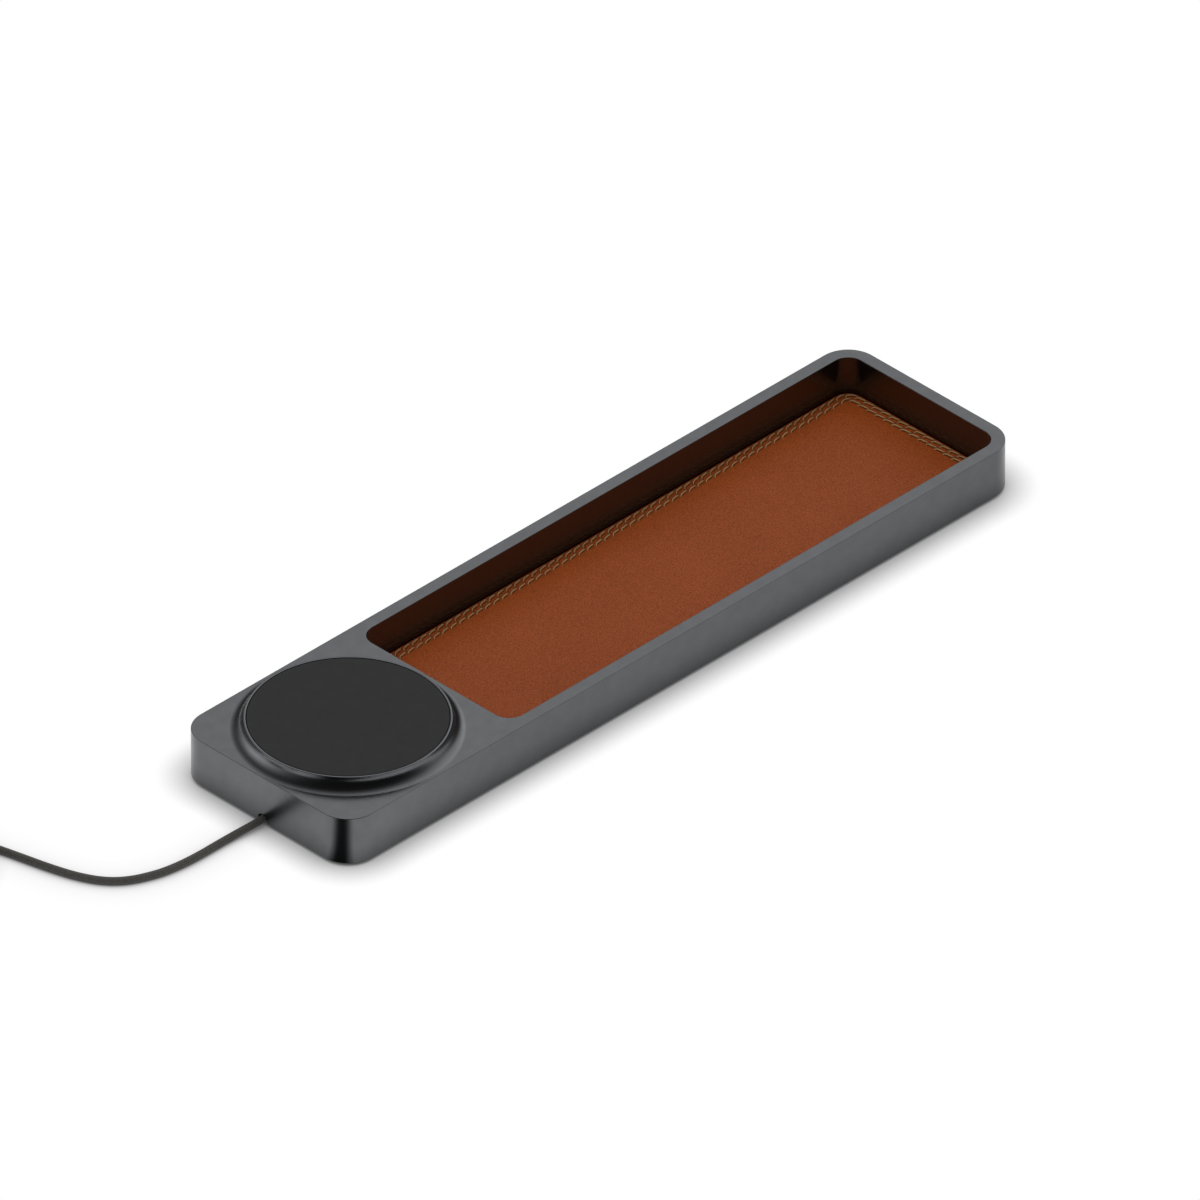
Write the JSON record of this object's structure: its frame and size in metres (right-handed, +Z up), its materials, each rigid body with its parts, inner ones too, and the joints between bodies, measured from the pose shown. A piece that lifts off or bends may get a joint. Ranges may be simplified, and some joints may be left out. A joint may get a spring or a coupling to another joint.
{
  "type": "charging station organizer",
  "caption": "Slim metal desk tray with a leather-lined pocket, a raised round wireless charging pedestal with a hollow flare, and a thin braided cord coiled beside it.",
  "frame": {"origin": "on the table, under the middle of the metal body", "axes": "+X along the tray from the charging pedestal towards the far end, +Y to the left seen that way, +Z up"},
  "size_m": [0.359, 0.1064, 0.0192],
  "materials": {
    "anodised_aluminium": "fine bead-blasted and anodised dark grey, satin",
    "cover_plastic": "black moulded plastic with a fine grain",
    "screw_steel": "bright plated steel",
    "foot_rubber": "matt black",
    "board_card": "plain pressed fibre board",
    "leather": "smooth brown leather with a fine grain, edge-stitched",
    "adhesive_foam": "grey foam tape",
    "module_shell": "turned, natural",
    "plated_iron": "nickel-plated",
    "magnets": "nickel-plated magnets",
    "white_plastic": "moulded, plain",
    "ferrite": "dull dark grey",
    "copper": "enamelled copper wire",
    "lead_wire": "enamelled wire in a thin sleeve",
    "soft_touch": "matt soft-touch silicone",
    "board_green": "green solder mask",
    "component_black": "moulded packages",
    "ivory_plastic": "ivory nylon",
    "braid": "fine woven sleeve, speckled dark grey",
    "tie_fabric": "black hook-and-loop strap",
    "plug_rubber": "matt black",
    "plug_plastic": "dark satin moulding",
    "plug_steel": "plated steel"
  },
  "bodies": {
    "root": {"tray_body": "anodised_aluminium", "base_cover": "cover_plastic", "cover_screws": "screw_steel", "rubber_feet": "foot_rubber", "liner_board": "board_card", "leather_panel": "leather", "puck_tape": "adhesive_foam", "puck_shell": "module_shell", "back_iron": "plated_iron", "magnet_ring": "magnets", "coil_frame": "white_plastic", "ferrite_disc": "ferrite", "charging_coil": "copper", "coil_leads": "lead_wire", "puck_face": "soft_touch", "circuit_board": "board_green", "board_screws": "screw_steel", "board_parts": "component_black", "cord_socket": "ivory_plastic", "cord_clamp": "cover_plastic", "clamp_screws": "screw_steel", "cord_inner": "braid", "cord_run": "braid", "cord_coil": "braid", "cord_tie": "tie_fabric", "plug_relief": "plug_rubber", "plug_grip": "plug_plastic", "plug_shell": "plug_steel", "plug_liner": "component_black"}
  },
  "joints": []
}
